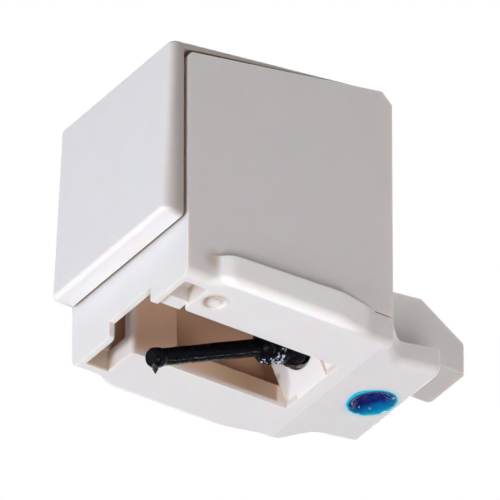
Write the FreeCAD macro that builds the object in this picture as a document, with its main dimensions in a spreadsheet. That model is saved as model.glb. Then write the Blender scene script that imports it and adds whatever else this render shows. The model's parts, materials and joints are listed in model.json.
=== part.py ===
import FreeCAD, Part
import os
import re

import Sketcher

# Turntable stylus: an ivory box moulding with a window in its floor, a cover that closes the
# box's front and top, and a cantilever with a diamond tip that swings in a rubber damper.
# Working frame, millimetres: X across, zero on the middle plane; Y back from the front edge of
# the side walls; Z up from the underside of the rails. Each finished piece is then placed so
# that the origin is on the plug's centre line at the rear face, which seats on the cartridge.

DIMENSIONS = [
    ("box_length", 12.2, "front edge of the side walls to the rear face"),
    ("panel_half_width", 5.2, "middle plane to the outside of a side wall"),
    ("panel_height_front", 13.15, "top of a side wall at the front"),
    ("panel_height_rear", 15.1, "top of a side wall where its rear chamfer starts"),
    ("rear_chamfer_run", 0.6, "chamfer at the rear top corner, along Y"),
    ("rear_chamfer_drop", 0.6, "chamfer at the rear top corner, along Z"),
    ("side_wall", 0.9, "thickness of a side wall"),
    ("rear_wall", 1.35, "thickness of the rear wall"),
    ("floor_thickness", 1.2, "thickness of the floor round the window"),
    ("front_wall", 0.32, "thickness of the front wall below the slab"),
    ("front_wall_height", 3.9, "top of the front wall below the slab"),
    ("slot_half_width", 4.45, "middle plane to the end of the slot behind the front wall"),
    ("slot_rear", 1.65, "rear side of the slot behind the front wall"),
    ("window_half_width", 2.3, "middle plane to the side of the window"),
    ("notch_half_width", 1.85, "middle plane to the side of the cantilever notch"),
    ("notch_height", 0.95, "top of the cantilever notch"),
    ("web_inner", 1.95, "middle plane to the near side of the web across the slot"),
    ("web_outer", 2.75, "middle plane to the far side of the web across the slot"),
    ("web_low", 0.2, "lower edge of the web across the slot"),
    ("web_high", 2.2, "upper edge of the web across the slot"),
    ("slot_roof", 1.0, "depth of the slot where it is closed, beside the web"),
    ("rib_thickness", 0.6, "thickness of a rib beside the window"),
    ("rib_end", 4.3, "rear end of a rib beside the window"),
    ("rib_height", 4.6, "top of a rib beside the window"),
    ("rail_round", 0.25, "rounding of a rib's front corner"),
    ("skirt_proud", 0.55, "how far a finger skirt stands out of the side wall"),
    ("skirt_front", 1.6, "front end of a finger skirt"),
    ("skirt_front_run", 0.8, "length over which a finger skirt swells at its front"),
    ("skirt_rear_gap", 1.1, "rear end of a finger skirt to the rear face"),
    ("skirt_rear_run", 2.2, "length over which a finger skirt dies away at its rear"),
    ("skirt_bend", 1.0, "rounding of a finger skirt's bends"),
    ("skirt_height_front", 1.52, "top of a finger skirt at its front"),
    ("skirt_height_rear", 1.88, "top of a finger skirt at its rear"),
    ("tongue_half_width", 3.9, "middle plane to the side of the rear tongue"),
    ("tongue_length", 3.8, "rear face to the tongue's end"),
    ("tail_lead", 0.5, "how far before the rear face the underside starts to rise"),
    ("tail_rise", 0.62, "how far the underside rises up to the tongue's end"),
    ("tongue_end_high", 2.0, "top of the tongue at its end"),
    ("tongue_root_high", 1.35, "top of the tongue at the rear face"),
    ("low_round", 0.45, "rounding of the lower outer edges"),
    ("shoulder_length", 1.2, "length over which the tongue narrows behind the rear face"),
    ("shoulder_round", 1.0, "hollow rounding where the tongue stops narrowing"),
    ("plug_half_width", 1.6, "middle plane to the side of the plug"),
    ("plug_length", 6.83, "rear face to the plug's end"),
    ("plug_axis", 4.3, "height of the plug's centre line at the rear face"),
    ("plug_top_root", 5.95, "top of the plug at the rear face"),
    ("plug_top_high", 6.41, "top of the plug where its nose starts to fall"),
    ("plug_nose", 2.67, "length of the plug's falling nose"),
    ("plug_end_high", 4.57, "top of the plug's end face"),
    ("plug_end_low", 2.9, "underside of the plug"),
    ("plug_heel", 0.5, "length over which the plug's underside falls to the tongue"),
    ("edge_round", 0.25, "rounding of the moulding's outer edges"),
    ("wall_round", 0.4, "rounding of a side wall's front top corner"),
    ("seam_height", 1.72, "lower side of the seam behind a finger skirt"),
    ("seam_width", 0.12, "width of the seam behind a finger skirt"),
    ("seam_depth", 0.12, "depth of the seam behind a finger skirt"),
    ("parting", 0.2, "gap between the cover and the front edges of the side walls"),
    ("cover_inset", 0.12, "how far the cover's sides stand back from the side walls"),
    ("slab_bottom", 3.4, "lower edge of the front slab"),
    ("slab_bottom_thickness", 1.4, "thickness of the front slab at its lower edge"),
    ("slab_top_thickness", 0.9, "thickness of the front slab at its top"),
    ("lid_front_thickness", 0.55, "thickness of the lid at the front"),
    ("lid_rear_thickness", 0.15, "thickness of the lid at the rear"),
    ("liner_thickness", 0.6, "thickness of the cover's step inside the walls"),
    ("liner_gap", 0.05, "clearance of the cover's step inside the walls"),
    ("slab_round", 0.4, "rounding of the front slab's upright edges"),
    ("slab_edge_round", 0.25, "rounding of the front slab's top and bottom edges"),
    ("pivot_back", 2.65, "rear face to the centre of the rubber damper"),
    ("pivot_z", 2.11, "height of the centre of the rubber damper"),
    ("cantilever_angle", 25, "slope of the cantilever, degrees"),
    ("cantilever_radius", 0.45, "radius of the cantilever"),
    ("cantilever_reach", 9.15, "damper centre to the cantilever's front end"),
    ("collar_radius", 0.52, "radius of the cantilever's front collar"),
    ("collar_length", 0.5, "length of the cantilever's front collar"),
    ("spigot_radius", 0.22, "radius of the cantilever's end inside the magnet"),
    ("spigot_length", 2.0, "length of the cantilever's end inside the magnet"),
    ("damper_radius", 1.15, "radius of the rubber damper"),
    ("damper_half_length", 0.7, "half the length of the rubber damper"),
    ("swing_gap", 0.06, "clearance round what swings in the damper and sleeve"),
    ("sleeve_radius", 1.3, "outer radius of the sleeve"),
    ("sleeve_wall", 0.35, "wall of the sleeve"),
    ("sleeve_mouth", 0.55, "damper centre to the sleeve's front end"),
    ("sleeve_end", 5.0, "damper centre to the sleeve's rear end"),
    ("sleeve_gap", 0.02, "clearance of the sleeve in the moulding"),
    ("boss_half_width", 1.25, "middle plane to the side of the rib under the sleeve"),
    ("boss_height", 2.45, "top of that rib"),
    ("seat_step", 0.35, "lower edge of the leaning seat beside that rib"),
    ("magnet_radius", 0.55, "radius of the magnet"),
    ("magnet_front", 0.9, "damper centre to the magnet's front end"),
    ("magnet_length", 3.0, "length of the magnet"),
    ("magnet_gap", 0.02, "clearance of the cantilever's end in the magnet"),
    ("tip_back", 0.3, "cantilever's front end to the tip's shank, along the cantilever"),
    ("tip_radius", 0.15, "radius of the tip's shank"),
    ("tip_gap", 0.01, "clearance of the shank in the cantilever"),
    ("tip_root", 0.2, "cantilever's centre line to the shank's upper end"),
    ("tip_drop", 0.94, "cantilever's centre line to the tip's point"),
    ("tip_cone", 0.26, "length of the tip's point"),
    ("tip_point_radius", 0.02, "radius of the tip's blunt end"),
    ("seal_back", 2.25, "rear face to the middle of the colour seal"),
    ("seal_radius", 1.28, "radius of the colour seal"),
    ("seal_depth", 0.7, "depth of the colour seal's recess"),
    ("seal_gap", 0.01, "clearance of the colour seal in its recess"),
    ("seal_rim_sunk", 0.03, "how far the colour seal's rim lies inside its recess"),
    ("seal_dish", 0.36, "how much deeper the colour seal's middle lies than its rim"),
    ("gate_x", 3.7, "middle plane to the moulding dimple"),
    ("gate_y", 2.6, "front edge of the side walls to the moulding dimple"),
    ("gate_radius", 0.6, "radius of the moulding dimple"),
    ("gate_pip_radius", 0.2, "radius of the pip in the moulding dimple"),
    ("gate_depth", 0.14, "depth of the moulding dimple"),
]

# How far a cutting tool runs past the solid that it cuts.
CLEAR = 1.0
# Two lengths that differ by less than this are taken to be the same.
SAME = 1e-3

doc = FreeCAD.newDocument("turntable_stylus")
dims = doc.addObject("Spreadsheet::Sheet", "dims")
for row, (alias, value, meaning) in enumerate(DIMENSIONS, 1):
    dims.set(f"A{row}", alias)
    dims.set(f"B{row}", str(value))
    dims.set(f"C{row}", meaning)
    dims.setAlias(f"B{row}", alias)
doc.recompute()


def size(alias):
    """The number in one cell of the sheet."""
    return float(dims.get(alias))


def bound(expression):
    """An expression of sizes, with each alias of the sheet written as dims.alias."""
    known = {alias for alias, _, _ in DIMENSIONS}
    return re.sub(r"[a-z_]+", lambda word: f"dims.{word[0]}" if word[0] in known else word[0], expression)


def origin_plane(body, role):
    """One of a body's own origin planes."""
    return next(part for part in body.Origin.OriginFeatures if part.Role == role)


def outline(body, name, role, *loops):
    """A sketch of closed polygons on an origin plane; every corner is a pair of expressions."""
    sketch = body.newObject("Sketcher::SketchObject", name)
    sketch.AttachmentSupport = [(origin_plane(body, role), "")]
    sketch.MapMode = "FlatFace"
    for loop in loops:
        first = sketch.GeometryCount
        count = len(loop)
        start = Part.makeCircle(10).discretize(Number=count + 1)[:count]
        for i in range(count):
            sketch.addGeometry(Part.LineSegment(start[i], start[(i + 1) % count]))
        for i in range(count):
            following = first + (i + 1) % count
            sketch.addConstraint(Sketcher.Constraint("Coincident", first + i, 2, following, 1))
        for i, corner in enumerate(loop):
            for kind, value, expression in zip(("DistanceX", "DistanceY"), start[i], corner):
                rule = Sketcher.Constraint(kind, -1, 1, first + i, 1, value)
                sketch.setExpression(f"Constraints[{sketch.addConstraint(rule)}]", bound(expression))
    return sketch


def across(body, kind, name, half_width, *corners):
    """A pad or pocket of a side outline (Y, Z), as wide to the left as to the right."""
    feature = body.newObject(f"PartDesign::{kind}", name)
    feature.Profile = outline(body, f"{name}_outline", "YZ_Plane", corners)
    feature.SideType = "Symmetric"
    feature.setExpression("Length", f"2 * ({bound(half_width)})")
    return feature


def upward(body, kind, name, height, *loops):
    """A pad or pocket of outlines (X, Y) that start on the plane of the rails' underside."""
    feature = body.newObject(f"PartDesign::{kind}", name)
    feature.Profile = outline(body, f"{name}_outline", "XY_Plane", *loops)
    feature.setExpression("Length", bound(height))
    feature.Reversed = kind == "Pocket"
    return feature


def mirrored(*corners):
    """An outline (X, Y) and its mirror image on the other side of the middle plane."""
    return corners, [(f"-({x})", y) for x, y in corners]


def turned(name, *corners):
    """A body of revolution about its own Y axis, from an outline of (along, radius)."""
    body = doc.addObject("PartDesign::Body", name)
    body.Label = name
    spin = body.newObject("PartDesign::Revolution", f"{name}_turned")
    spin.Profile = outline(body, f"{name}_outline", "YZ_Plane", corners)
    spin.ReferenceAxis = (spin.Profile[0], ["H_Axis"])
    spin.Angle = 360
    return body


def round_edges(body, name, radius, wanted):
    """Rounds the edges of the body's last feature that the test picks out."""
    doc.recompute()
    base = body.Tip
    picked = [f"Edge{i}" for i, edge in enumerate(base.Shape.Edges, 1) if wanted(edge)]
    if not picked:
        raise RuntimeError(f"{name}: no edge was found to round")
    fillet = body.newObject("PartDesign::Fillet", name)
    fillet.Base = (base, picked)
    fillet.setExpression("Radius", bound(radius))


def cylinder(name, radius, height):
    """A plain cylinder along its own Z axis."""
    piece = doc.addObject("Part::Cylinder", name)
    piece.setExpression("Radius", bound(radius))
    piece.setExpression("Height", bound(height))
    return piece


def block(name, width, depth, height):
    """A plain box with its lowest corner at its own origin."""
    piece = doc.addObject("Part::Box", name)
    piece.setExpression("Length", bound(width))
    piece.setExpression("Width", bound(depth))
    piece.setExpression("Height", bound(height))
    return piece


def place(piece, y, z, turn=None, x="0"):
    """Puts a piece at a point, turned about X by an angle in degrees."""
    piece.setExpression("Placement.Base.x", bound(x))
    piece.setExpression("Placement.Base.y", bound(y))
    piece.setExpression("Placement.Base.z", bound(z))
    if turn:
        piece.setExpression("Placement.Rotation.Axis.x", "1")
        piece.setExpression("Placement.Rotation.Axis.y", "0")
        piece.setExpression("Placement.Rotation.Axis.z", "0")
        piece.setExpression("Placement.Rotation.Angle", bound(turn))


def same(one, other):
    return abs(one - other) < SAME


def spans(edge, axis):
    """Whether an edge is straight and runs along one axis only."""
    box = edge.BoundBox
    lengths = {"X": box.XLength, "Y": box.YLength, "Z": box.ZLength}
    return lengths[axis] > SAME and all(lengths[k] < SAME for k in lengths if k != axis)


# The moulding: walls, floor, skirts, tongue and plug

WALL_END = "box_length - rear_wall"
TOP_END = "box_length - rear_chamfer_run"
SKIRT_END = "box_length - skirt_rear_gap"
SKIRT_SIDE = "panel_half_width + skirt_proud"
CAVITY_SIDE = "panel_half_width - side_wall"

TONGUE_END = "box_length + tongue_length"
PIVOT_Y = "box_length - pivot_back"
TAIL_SLOPE = "tail_rise / (tongue_length + tail_lead)"
HEEL = f"{TONGUE_END} - plug_heel"

# The sole: the underside with its finger skirts and the tongue

moulding = doc.addObject("PartDesign::Body", "moulding")
across(
    moulding, "Pad", "sole", SKIRT_SIDE,
    ("0", "0"),
    ("0", "skirt_height_front"),
    ("box_length", "skirt_height_rear"),
    ("box_length", "tongue_root_high"),
    (TONGUE_END, "tongue_end_high"),
    (TONGUE_END, "tail_rise"),
    ("box_length - tail_lead", "0"),
)
upward(
    moulding, "Pocket", "skirt_fronts", f"tongue_end_high + {CLEAR}",
    *mirrored(
        (f"{SKIRT_SIDE} + {CLEAR}", "skirt_front + skirt_front_run"),
        (SKIRT_SIDE, "skirt_front + skirt_front_run"),
        ("panel_half_width", "skirt_front"),
        ("panel_half_width", f"-{CLEAR}"),
        (f"{SKIRT_SIDE} + {CLEAR}", f"-{CLEAR}"),
    ),
)
upward(
    moulding, "Pocket", "skirt_tails", f"tongue_end_high + {CLEAR}",
    *mirrored(
        (f"{SKIRT_SIDE} + {CLEAR}", f"{SKIRT_END} - skirt_rear_run"),
        (SKIRT_SIDE, f"{SKIRT_END} - skirt_rear_run"),
        ("panel_half_width", SKIRT_END),
        ("panel_half_width", "box_length"),
        ("tongue_half_width", "box_length + shoulder_length"),
        ("tongue_half_width", f"{TONGUE_END} + {CLEAR}"),
        (f"{SKIRT_SIDE} + {CLEAR}", f"{TONGUE_END} + {CLEAR}"),
    ),
)

skirt_side = size("panel_half_width") + size("skirt_proud")
rear_face = size("box_length")
tongue_end = rear_face + size("tongue_length")
plug_end = rear_face + size("plug_length")


def skirt_bend_edge(edge):
    """The upright edges where a skirt swells out of the wall or dies away into it."""
    middle = edge.CenterOfMass
    at_wall = same(abs(middle.x), size("panel_half_width")) and SAME < middle.y < rear_face - SAME
    return spans(edge, "Z") and (at_wall or same(abs(middle.x), skirt_side))


def shoulder_edge(edge):
    """The upright hollow corners where the tongue stops narrowing."""
    middle = edge.CenterOfMass
    at_side = same(abs(middle.x), size("tongue_half_width"))
    return spans(edge, "Z") and at_side and same(middle.y, rear_face + size("shoulder_length"))


def low_edge(edge):
    """The lower outer edges of the sole."""
    box = edge.BoundBox
    outside = min(abs(box.XMin), abs(box.XMax)) > size("tongue_half_width") - SAME
    return outside and box.ZMax < size("tail_rise") + SAME and box.YLength > SAME


round_edges(moulding, "skirt_bends", "skirt_bend", skirt_bend_edge)
round_edges(moulding, "shoulder_rounds", "shoulder_round", shoulder_edge)
round_edges(moulding, "low_rounds", "low_round", low_edge)

# The walls and the plug

across(
    moulding, "Pad", "walls", "panel_half_width",
    ("0", "floor_thickness"),
    ("0", "panel_height_front"),
    (TOP_END, "panel_height_rear"),
    ("box_length", "panel_height_rear - rear_chamfer_drop"),
    ("box_length", "floor_thickness"),
)


def wall_top_edge(edge):
    """The front top edge of the side walls."""
    middle = edge.CenterOfMass
    return spans(edge, "X") and same(middle.y, 0) and same(middle.z, size("panel_height_front"))


round_edges(moulding, "wall_top_rounds", "wall_round", wall_top_edge)
across(
    moulding, "Pad", "plug", "plug_half_width",
    (WALL_END, "tongue_root_high"),
    (WALL_END, "plug_top_root"),
    ("box_length", "plug_top_root"),
    ("box_length + plug_length - plug_nose", "plug_top_high"),
    ("box_length + plug_length", "plug_end_high"),
    ("box_length + plug_length", "plug_end_low"),
    (TONGUE_END, "plug_end_low"),
    (HEEL, "tongue_root_high"),
)


def tail_edge(edge):
    """The upright edges at the ends of the tongue and the plug."""
    middle = edge.CenterOfMass
    if not spans(edge, "Z"):
        return False
    tongue = same(middle.y, tongue_end) and same(abs(middle.x), size("tongue_half_width"))
    return tongue or same(middle.y, plug_end)


round_edges(moulding, "tail_rounds", "edge_round", tail_edge)

# What is cut out of the moulding, and the ribs inside it

across(
    moulding, "Pocket", "cavity", CAVITY_SIDE,
    ("front_wall", "floor_thickness"),
    ("front_wall", "front_wall_height"),
    (f"-{CLEAR}", "front_wall_height"),
    (f"-{CLEAR}", f"panel_height_rear + {CLEAR}"),
    (WALL_END, f"panel_height_rear + {CLEAR}"),
    (WALL_END, "floor_thickness"),
)
across(
    moulding, "Pocket", "slot", "slot_half_width",
    ("front_wall", f"-{CLEAR}"),
    ("front_wall", "floor_thickness"),
    ("slot_rear", "floor_thickness"),
    ("slot_rear", f"-{CLEAR}"),
)
across(
    moulding, "Pocket", "window", "window_half_width",
    ("slot_rear", f"-{CLEAR}"),
    ("slot_rear", "floor_thickness"),
    (WALL_END, "floor_thickness"),
    (WALL_END, f"-{CLEAR}"),
)
across(
    moulding, "Pocket", "notch", "notch_half_width",
    (f"-{CLEAR}", f"-{CLEAR}"),
    (f"-{CLEAR}", "notch_height"),
    ("front_wall", "notch_height"),
    ("front_wall", f"-{CLEAR}"),
)
upward(
    moulding, "Pad", "ribs", "rib_height",
    *mirrored(
        ("window_half_width", "slot_rear"),
        ("window_half_width + rib_thickness", "slot_rear"),
        ("window_half_width + rib_thickness", "rib_end"),
        ("window_half_width", "rib_end"),
    ),
)
across(
    moulding, "Pad", "seat", "window_half_width",
    (WALL_END, "seat_step"),
    (f"{WALL_END} - (boss_height - seat_step) * tan(cantilever_angle)", "boss_height"),
    (WALL_END, "boss_height"),
)
across(
    moulding, "Pad", "boss", "boss_half_width",
    (WALL_END, "0"),
    (f"{WALL_END} - boss_height * tan(cantilever_angle)", "boss_height"),
    (WALL_END, "boss_height"),
)


def rail_edge(edge):
    """The upright front corners of the ribs beside the window."""
    middle = edge.CenterOfMass
    at_side = same(abs(middle.x), size("window_half_width"))
    return spans(edge, "Z") and at_side and same(middle.y, size("slot_rear"))


def notch_tooth_edge(edge):
    """The lower edges of the notch, which end the two teeth of the front wall."""
    middle = edge.CenterOfMass
    at_side = same(abs(middle.x), size("notch_half_width"))
    return spans(edge, "Y") and at_side and same(middle.z, 0)


round_edges(moulding, "rail_rounds", "rail_round", rail_edge)
round_edges(moulding, "tooth_rounds", "edge_round", notch_tooth_edge)

web = block("web", "web_outer - web_inner", "slot_rear - front_wall", "web_high - web_low")
place(web, "front_wall", "web_low", x="web_inner")
roof = block("slot_roof", "slot_half_width - web_inner", "slot_rear - front_wall", "web_high - slot_roof")
place(roof, "front_wall", "slot_roof", x="web_inner")
joined = doc.addObject("Part::MultiFuse", "joined_moulding")
joined.Shapes = [moulding, web, roof]
joined.Refine = True

# Bores and recesses in the moulding

bore = cylinder("sleeve_bore", "sleeve_radius + sleeve_gap", "sleeve_end + sleeve_gap")
place(bore, PIVOT_Y, "pivot_z", "cantilever_angle - 90")

TONGUE_SLOPE = f"atan({TAIL_SLOPE})"
SEAL_Y = "box_length + seal_back"
SEAL_Z = f"(seal_back + tail_lead) * {TAIL_SLOPE}"
seal_recess = cylinder("seal_recess", "seal_radius", "2 * seal_depth")
place(
    seal_recess,
    f"{SEAL_Y} + seal_depth * sin({TONGUE_SLOPE})",
    f"{SEAL_Z} - seal_depth * cos({TONGUE_SLOPE})",
    TONGUE_SLOPE,
)

gate_disc = cylinder("gate_disc", "gate_radius", "2 * gate_depth")
place(gate_disc, "gate_y", "-gate_depth", x="gate_x")
gate_pip = cylinder("gate_pip", "gate_pip_radius", "2 * gate_depth")
place(gate_pip, "gate_y", "-gate_depth", x="gate_x")
gate_ring = doc.addObject("Part::Cut", "gate_ring")
gate_ring.Base = gate_disc
gate_ring.Tool = gate_pip

seams = []
for side, seam_x in (("left", f"-panel_half_width - {CLEAR}"), ("right", "panel_half_width - seam_depth")):
    seam = block(f"{side}_seam", f"{CLEAR} + seam_depth", f"skirt_rear_gap + {CLEAR}", "seam_width")
    place(seam, f"{SKIRT_END}", "seam_height", x=seam_x)
    seams.append(seam)

cuts = doc.addObject("Part::MultiFuse", "moulding_cuts")
cuts.Shapes = [bore, seal_recess, gate_ring, *seams]
stylus_body = doc.addObject("Part::Cut", "stylus_body")
stylus_body.Base = joined
stylus_body.Tool = cuts

# The cover: a front slab and a lid in one, with a step that fits inside the walls

LID_RISE = f"(panel_height_rear - panel_height_front) / ({TOP_END})"
LINER_END = f"{WALL_END} - liner_gap"
LID_FRONT_LOW = "panel_height_front + parting"
LINER_END_TOP = (
    f"{LID_FRONT_LOW} + ({LINER_END} + parting)"
    f" * (panel_height_rear - {LID_FRONT_LOW.replace('+', '-')}) / ({TOP_END} + parting)"
)
LINER_END_LOW = f"panel_height_front + ({LINER_END}) * {LID_RISE} - liner_thickness"
LINER_FOLD = f"panel_height_front + liner_thickness * {LID_RISE} - liner_thickness"
LINER_FOOT = "front_wall_height + liner_gap"

front_cover = doc.addObject("PartDesign::Body", "front_cover")
across(
    front_cover, "Pad", "slab_and_lid", "panel_half_width - cover_inset",
    ("-slab_bottom_thickness", "slab_bottom"),
    ("-slab_top_thickness", "panel_height_front + lid_front_thickness"),
    (TOP_END, "panel_height_rear + lid_rear_thickness"),
    (TOP_END, "panel_height_rear"),
    ("-parting", LID_FRONT_LOW),
    ("-parting", "slab_bottom"),
)


def slab_edge(edge):
    """The upright front edges of the slab."""
    box = edge.BoundBox
    upright = box.ZLength > size("slab_bottom") and box.XLength < SAME
    return upright and box.YMax < -size("parting") - SAME


def slab_rim_edge(edge):
    """The front edges of the slab's top and bottom, from corner to corner."""
    box = edge.BoundBox
    in_front = box.YMax < -size("slab_top_thickness") + size("slab_round") + SAME
    return in_front and box.XLength > SAME and box.ZLength < size("slab_round")


round_edges(front_cover, "slab_rounds", "slab_round", slab_edge)
round_edges(front_cover, "slab_rim_rounds", "slab_edge_round", slab_rim_edge)
across(
    front_cover, "Pad", "liner", f"{CAVITY_SIDE} - liner_gap",
    ("-parting", LINER_FOOT),
    ("-parting", LID_FRONT_LOW),
    (LINER_END, LINER_END_TOP),
    (LINER_END, LINER_END_LOW),
    ("liner_thickness", LINER_FOLD),
    ("liner_thickness", LINER_FOOT),
)

# What swings: sleeve, damper, cantilever, magnet and tip, each on its own Y axis

MOUTH = "sleeve_mouth"
BORE = "sleeve_radius - sleeve_wall"
SEAT = "damper_radius + swing_gap"
suspension_sleeve = turned(
    "suspension_sleeve",
    (MOUTH, f"sqrt(({SEAT})^2 - {MOUTH}^2)"),
    (MOUTH, "sleeve_radius"),
    ("sleeve_end", "sleeve_radius"),
    ("sleeve_end", BORE),
    (f"sqrt(({SEAT})^2 - ({BORE})^2)", BORE),
)

damper_ball = doc.addObject("Part::Sphere", "damper_ball")
damper_ball.setExpression("Radius", bound("damper_radius"))
damper_ball.setExpression("Angle1", bound("-asin(damper_half_length / damper_radius)"))
damper_ball.setExpression("Angle2", bound("asin(damper_half_length / damper_radius)"))
damper_hole = cylinder("damper_hole", "cantilever_radius + swing_gap", "4 * damper_half_length")
place(damper_hole, "0", "-2 * damper_half_length")
rubber_damper = doc.addObject("Part::Cut", "rubber_damper")
rubber_damper.Base = damper_ball
rubber_damper.Tool = damper_hole

cantilever_rod = turned(
    "cantilever_rod",
    ("-cantilever_reach", "0"),
    ("-cantilever_reach", "collar_radius"),
    ("collar_length - cantilever_reach", "collar_radius"),
    ("collar_length - cantilever_reach", "cantilever_radius"),
    ("magnet_front", "cantilever_radius"),
    ("magnet_front", "spigot_radius"),
    ("magnet_front + spigot_length", "spigot_radius"),
    ("magnet_front + spigot_length", "0"),
)
place(cantilever_rod, PIVOT_Y, "pivot_z", "cantilever_angle")
TIP_Y = f"{PIVOT_Y} - (cantilever_reach - tip_back) * cos(cantilever_angle)"
TIP_Z = "pivot_z - (cantilever_reach - tip_back) * sin(cantilever_angle)"
tip_hole = cylinder("tip_hole", "tip_radius + tip_gap", "tip_root + tip_gap + tip_drop")
place(tip_hole, TIP_Y, f"{TIP_Z} - tip_drop")
cantilever = doc.addObject("Part::Cut", "cantilever")
cantilever.Base = cantilever_rod
cantilever.Tool = tip_hole

magnet = turned(
    "magnet",
    ("magnet_front", "spigot_radius + magnet_gap"),
    ("magnet_front", "magnet_radius"),
    ("magnet_front + magnet_length", "magnet_radius"),
    ("magnet_front + magnet_length", "spigot_radius + magnet_gap"),
)

diamond_tip = turned(
    "diamond_tip",
    ("-tip_root", "0"),
    ("-tip_root", "tip_radius"),
    ("tip_drop - tip_cone", "tip_radius"),
    ("tip_drop", "tip_point_radius"),
    ("tip_drop", "0"),
)

colour_seal = turned(
    "colour_seal",
    ("0", "0"),
    ("0", "seal_radius - seal_gap"),
    ("seal_depth - seal_rim_sunk", "seal_radius - seal_gap"),
    ("seal_depth - seal_rim_sunk - seal_dish", "seal_radius / 2"),
    ("seal_depth - seal_rim_sunk - seal_dish", "0"),
)

# Every finished piece goes to the frame whose origin is on the plug's centre line

PIVOT = ("-pivot_back", "pivot_z - plug_axis")
place(stylus_body, "-box_length", "-plug_axis")
place(front_cover, "-box_length", "-plug_axis")
place(suspension_sleeve, *PIVOT, "cantilever_angle")
place(rubber_damper, *PIVOT, "cantilever_angle - 90")
place(cantilever, "-box_length", "-plug_axis")
place(magnet, *PIVOT, "cantilever_angle")
place(diamond_tip, f"{TIP_Y} - box_length", f"{TIP_Z} - plug_axis", "-90")
place(
    colour_seal,
    f"seal_back - seal_depth * sin({TONGUE_SLOPE})",
    f"{SEAL_Z} + seal_depth * cos({TONGUE_SLOPE}) - plug_axis",
    f"{TONGUE_SLOPE} - 90 deg",
)
doc.recompute()

PIECES = [
    stylus_body,
    front_cover,
    suspension_sleeve,
    rubber_damper,
    cantilever,
    magnet,
    diamond_tip,
    colour_seal,
]
for item in doc.Objects:
    if "Invalid" in item.State or "Error" in item.State:
        raise RuntimeError(f"{item.Name} did not build: {item.State}")
os.makedirs("parts", exist_ok=True)
for piece in PIECES:
    piece.Label = piece.Name
    if piece.Shape.isNull() or not piece.Shape.isValid():
        raise RuntimeError(f"{piece.Label} has no valid shape")
    piece.Shape.exportStep(f"parts/{piece.Label}.step")
    box = piece.Shape.BoundBox
    print(piece.Label, len(piece.Shape.Solids), f"{piece.Shape.Volume:.3f}", box)
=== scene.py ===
import json
import math

import bmesh
import bpy
from bpy.props import FloatProperty, FloatVectorProperty, IntProperty, PointerProperty
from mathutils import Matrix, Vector


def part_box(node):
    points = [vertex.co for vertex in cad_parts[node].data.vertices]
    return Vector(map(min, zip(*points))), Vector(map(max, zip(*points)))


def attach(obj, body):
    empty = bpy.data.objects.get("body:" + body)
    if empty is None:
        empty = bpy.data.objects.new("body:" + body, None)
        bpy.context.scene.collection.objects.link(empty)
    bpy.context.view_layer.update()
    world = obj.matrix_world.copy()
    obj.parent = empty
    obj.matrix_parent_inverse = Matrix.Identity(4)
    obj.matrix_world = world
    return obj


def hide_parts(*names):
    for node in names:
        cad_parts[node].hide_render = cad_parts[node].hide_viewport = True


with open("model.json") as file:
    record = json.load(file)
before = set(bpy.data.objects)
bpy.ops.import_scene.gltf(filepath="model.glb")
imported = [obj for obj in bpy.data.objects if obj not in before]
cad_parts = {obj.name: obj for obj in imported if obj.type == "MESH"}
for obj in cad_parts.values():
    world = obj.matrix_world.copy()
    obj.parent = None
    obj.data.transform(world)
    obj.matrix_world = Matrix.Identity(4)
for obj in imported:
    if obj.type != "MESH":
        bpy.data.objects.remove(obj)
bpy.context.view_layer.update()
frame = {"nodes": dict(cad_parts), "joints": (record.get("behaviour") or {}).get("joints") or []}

bl_info = {
    "name": "Turntable Stylus",
    "version": (1, 0, 0),
    "blender": (4, 5, 0),
    "location": "3D View > Sidebar > Stylus",
    "description": "Dresses the solids of a plug-in turntable stylus and sets them in a studio",
    "category": "Object",
}

MM = 0.001

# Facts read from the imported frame

JOINTS = {joint["name"]: joint for joint in frame["joints"]}
PIVOT = Vector(JOINTS["lateral_swing"]["pos_m"])
SWING_AXIS = Vector(JOINTS["lateral_swing"]["axis"]).normalized()
ROD_AXIS = Vector((1, 0, 0)).cross(SWING_AXIS).normalized()
DAMPER_LOW, DAMPER_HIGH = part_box("rubber_damper")
COVER_LOW, COVER_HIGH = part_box("front_cover")

# The seal's recess in the sloping underside of the tongue

TONGUE_RISE, TONGUE_RUN = 0.62, 4.3
SEAL_SLOPE = math.atan(TONGUE_RISE / TONGUE_RUN)
SEAL_CENTRE = Vector((0, 2.25, -3.904)) * MM
SEAL_ALONG = Vector((0, math.cos(SEAL_SLOPE), math.sin(SEAL_SLOPE)))
SEAL_INWARD = Vector((0, -math.sin(SEAL_SLOPE), math.cos(SEAL_SLOPE)))
# Shift of the pool's dark middle off its centre, for painted shade on the side that lies in shadow.
SEAL_SHADE_SHIFT = Vector((0.3, -0.32, 0)) * MM
SEAL_FLOOR = 0.66 * MM

# Places in the frame where a colour changes; they bound painted shade inside the body, in the gate's
# dimple and by the skirt, painted light on the skirts, and painted highlights on the glue; a pair is
# where a fade starts and ends

GATE_CENTRE = Vector((3.7, -9.6, -4.3)) * MM
GATE_PIP = GATE_CENTRE + Vector((-0.2, 0.33, 0)) * MM
GLINT_CENTRE = Vector((-0.09, -3.62, -3.1)) * MM
CAVITY_LOW = Vector((-4.75, -10.4, -4.0)) * MM
CAVITY_HIGH = Vector((4.75, -1.1, 10.5)) * MM
LID_LEAN = 0.171
BOSS_LOW = Vector((-2.3, -3.4, -5.0)) * MM
BOSS_HIGH = Vector((3.0, 0.0, -1.7)) * MM
SILL_LOW = Vector((-3.2, -8.0, -4.05)) * MM
SILL_HIGH = Vector((-2.0, -1.9, -2.6)) * MM
SILL_FADE = (-7.5 * MM, -2.8 * MM)
SLOT_LOW = Vector((-5.1, -11.95, -4.2)) * MM
SLOT_HIGH = Vector((-3.6, -10.3, 0.5)) * MM
SLOT_FADE = (-3.5 * MM, -4.5 * MM)
SKIRT_START = Vector((5.3, -10.6, -3.0)) * MM
SKIRT_SIDE = (5.22 * MM, 5.42 * MM)
SKIRT_TOP = (-2.2 * MM, -2.6 * MM)


# Settings

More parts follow.
